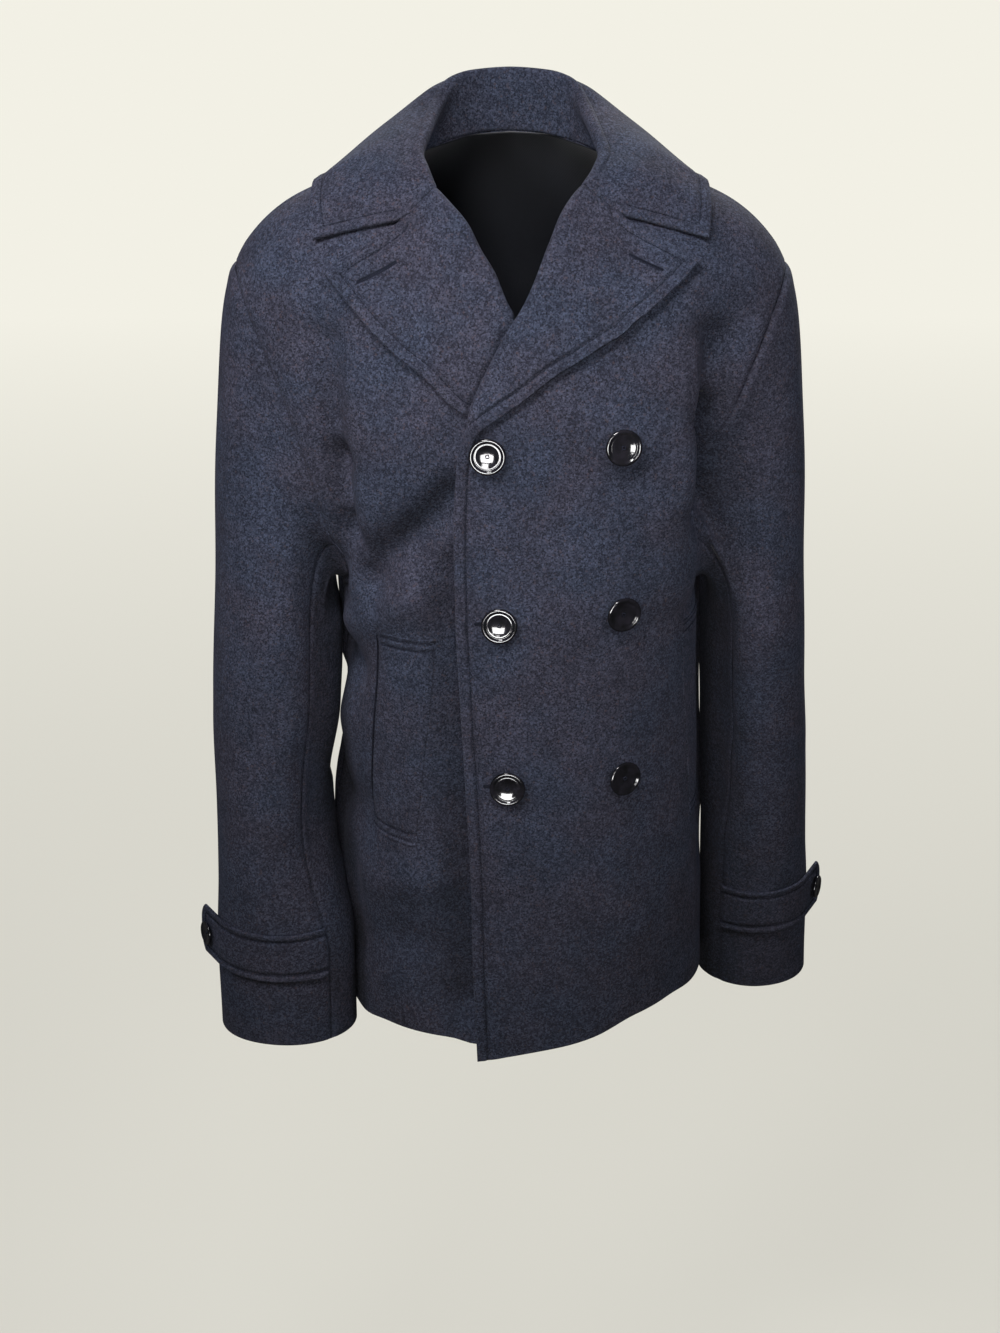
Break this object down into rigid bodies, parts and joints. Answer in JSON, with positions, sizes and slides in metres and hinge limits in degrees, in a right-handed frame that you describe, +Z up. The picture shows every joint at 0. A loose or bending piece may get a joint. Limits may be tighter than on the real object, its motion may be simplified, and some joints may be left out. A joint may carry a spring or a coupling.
{
  "type": "pea coat",
  "caption": "Double-breasted wool pea coat, buttoned and worn, with notched lapels, a turned-down collar, slanted pocket welts and cuff straps; hollow and open at neck, hem and cuffs.",
  "frame": {"origin": "midway between the two points where the shoulder seams meet the neckline, where the wearer's shoulders carry the coat", "axes": "+X towards the wearer's left sleeve, -Y out of the buttoned front, +Z up from the hem to the collar"},
  "size_m": [0.5561, 0.3438, 0.8071],
  "materials": {
    "wool": "matte brushed melton with a fine heather",
    "button": "polished"
  },
  "bodies": {
    "root": {"back": "wool", "front_left": "wool", "front_right": "wool", "lapel_left": "wool", "lapel_right": "wool", "collar": "wool", "top_sleeve_left": "wool", "under_sleeve_left": "wool", "top_sleeve_right": "wool", "under_sleeve_right": "wool", "cuff_strap_left": "wool", "cuff_strap_right": "wool", "pocket_welt_left": "wool", "pocket_welt_right": "wool", "button_1": "button", "button_2": "button", "button_3": "button", "button_4": "button", "button_5": "button", "button_6": "button", "button_cuff_left": "button", "button_cuff_right": "button"}
  },
  "joints": []
}
